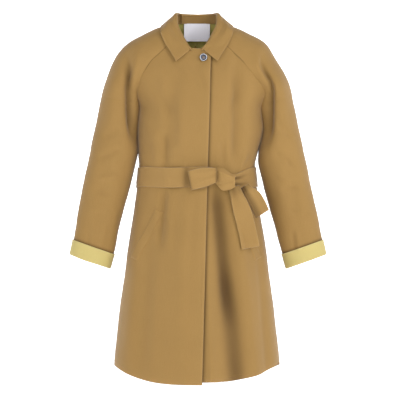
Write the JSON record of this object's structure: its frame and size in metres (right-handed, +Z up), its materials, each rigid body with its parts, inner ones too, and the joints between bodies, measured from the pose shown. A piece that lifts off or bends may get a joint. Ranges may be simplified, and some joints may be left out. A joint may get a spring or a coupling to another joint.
{
  "type": "belted raglan car coat",
  "caption": "Knee-length belted raglan coat hanging buttoned, with shirt collar, hidden fly, slanted welt pockets, turned-back cuffs and a tied waist belt.",
  "frame": {"origin": "middle of the neck at the height of the back neck seam, where a hanger's hook rises", "axes": "+Z up along the hanging coat, -Y towards the front, +X towards the wearer's left"},
  "size_m": [0.6556, 0.313, 0.9656],
  "materials": {
    "shell_cloth": "matte",
    "facing_cloth": "matte",
    "belt_cloth": "matte",
    "lining": "satin",
    "cuff_cloth": "matte",
    "label": "satin",
    "button": "gloss",
    "thread": "matte"
  },
  "bodies": {
    "coat": {"right_front": "shell_cloth", "left_front": "shell_cloth", "right_back": "shell_cloth", "left_back": "shell_cloth", "right_raglan_head": "shell_cloth", "left_raglan_head": "shell_cloth", "right_facing": "facing_cloth", "left_facing": "facing_cloth", "right_front_lining": "lining", "left_front_lining": "lining", "back_lining": "lining", "collar_stand": "facing_cloth", "collar_leaf": "shell_cloth", "neck_label": "label", "neck_loop": "shell_cloth", "top_button_shank": "thread", "fly_buttons": "button", "fly_strip": "facing_cloth", "right_pocket_welt": "shell_cloth", "left_pocket_welt": "shell_cloth", "right_pocket_bag": "lining", "left_pocket_bag": "lining", "belt_band": "belt_cloth", "belt_loops": "belt_cloth", "belt_knot": "belt_cloth", "belt_bow": "belt_cloth"},
    "right_wing": {"right_collar_wing": "shell_cloth"},
    "left_wing": {"left_collar_wing": "shell_cloth"},
    "button": {"top_button": "button"},
    "skirt_flap": {"right_skirt_flap": "shell_cloth", "flap_facing": "facing_cloth"},
    "long_tail": {"belt_tail_long": "belt_cloth"},
    "short_tail": {"belt_tail_short": "belt_cloth"},
    "right_arm": {"right_sleeve_head": "shell_cloth", "right_sleeve_upper": "shell_cloth", "right_sleeve_lining": "lining"},
    "left_arm": {"left_sleeve_head": "shell_cloth", "left_sleeve_upper": "shell_cloth", "left_sleeve_lining": "lining"},
    "right_forearm": {"right_sleeve_lower": "shell_cloth", "right_forearm_lining": "lining", "right_cuff": "cuff_cloth"},
    "left_forearm": {"left_sleeve_lower": "shell_cloth", "left_forearm_lining": "lining", "left_cuff": "cuff_cloth"}
  },
  "joints": [
    {"name": "right_shoulder_raise", "type": "hinge", "parent": "coat", "child": "right_arm", "pos_m": [-0.172, 0, -0.106], "axis": [0, 1, 0], "range_deg": [0, 75]},
    {"name": "left_shoulder_raise", "type": "hinge", "parent": "coat", "child": "left_arm", "pos_m": [0.172, 0, -0.106], "axis": [0, -1, 0], "range_deg": [0, 75]},
    {"name": "right_elbow_bend", "type": "hinge", "parent": "right_arm", "child": "right_forearm", "pos_m": [-0.21707, -0.061, -0.3295], "axis": [-0.9803, 0, 0.1977], "range_deg": [0, 80]},
    {"name": "left_elbow_bend", "type": "hinge", "parent": "left_arm", "child": "left_forearm", "pos_m": [0.21707, -0.061, -0.3295], "axis": [-0.9803, 0, -0.1977], "range_deg": [0, 80]},
    {"name": "right_wing_lift", "type": "hinge", "parent": "coat", "child": "right_wing", "pos_m": [-0.015, -0.062, -0.068], "axis": [-0.3488, 0.4598, 0.8166], "range_deg": [0, 45]},
    {"name": "left_wing_lift", "type": "hinge", "parent": "coat", "child": "left_wing", "pos_m": [0.015, -0.062, -0.068], "axis": [-0.3488, -0.4598, -0.8166], "range_deg": [0, 45]},
    {"name": "top_button_twist", "type": "hinge", "parent": "coat", "child": "button", "pos_m": [0.017, -0.085, -0.088], "axis": [0, -1, 0], "range_deg": [-45, 45]},
    {"name": "skirt_flap_open", "type": "hinge", "parent": "coat", "child": "skirt_flap", "pos_m": [-0.085, -0.1203, -0.6], "axis": [0, -0.0891, -0.996], "range_deg": [0, 40]},
    {"name": "long_tail_lift", "type": "hinge", "parent": "coat", "child": "long_tail", "pos_m": [0.097, -0.1058, -0.4255], "axis": [-1, 0, 0], "range_deg": [0, 80]},
    {"name": "short_tail_lift", "type": "hinge", "parent": "coat", "child": "short_tail", "pos_m": [0.133, -0.1058, -0.4255], "axis": [-1, 0, 0], "range_deg": [0, 80]}
  ]
}
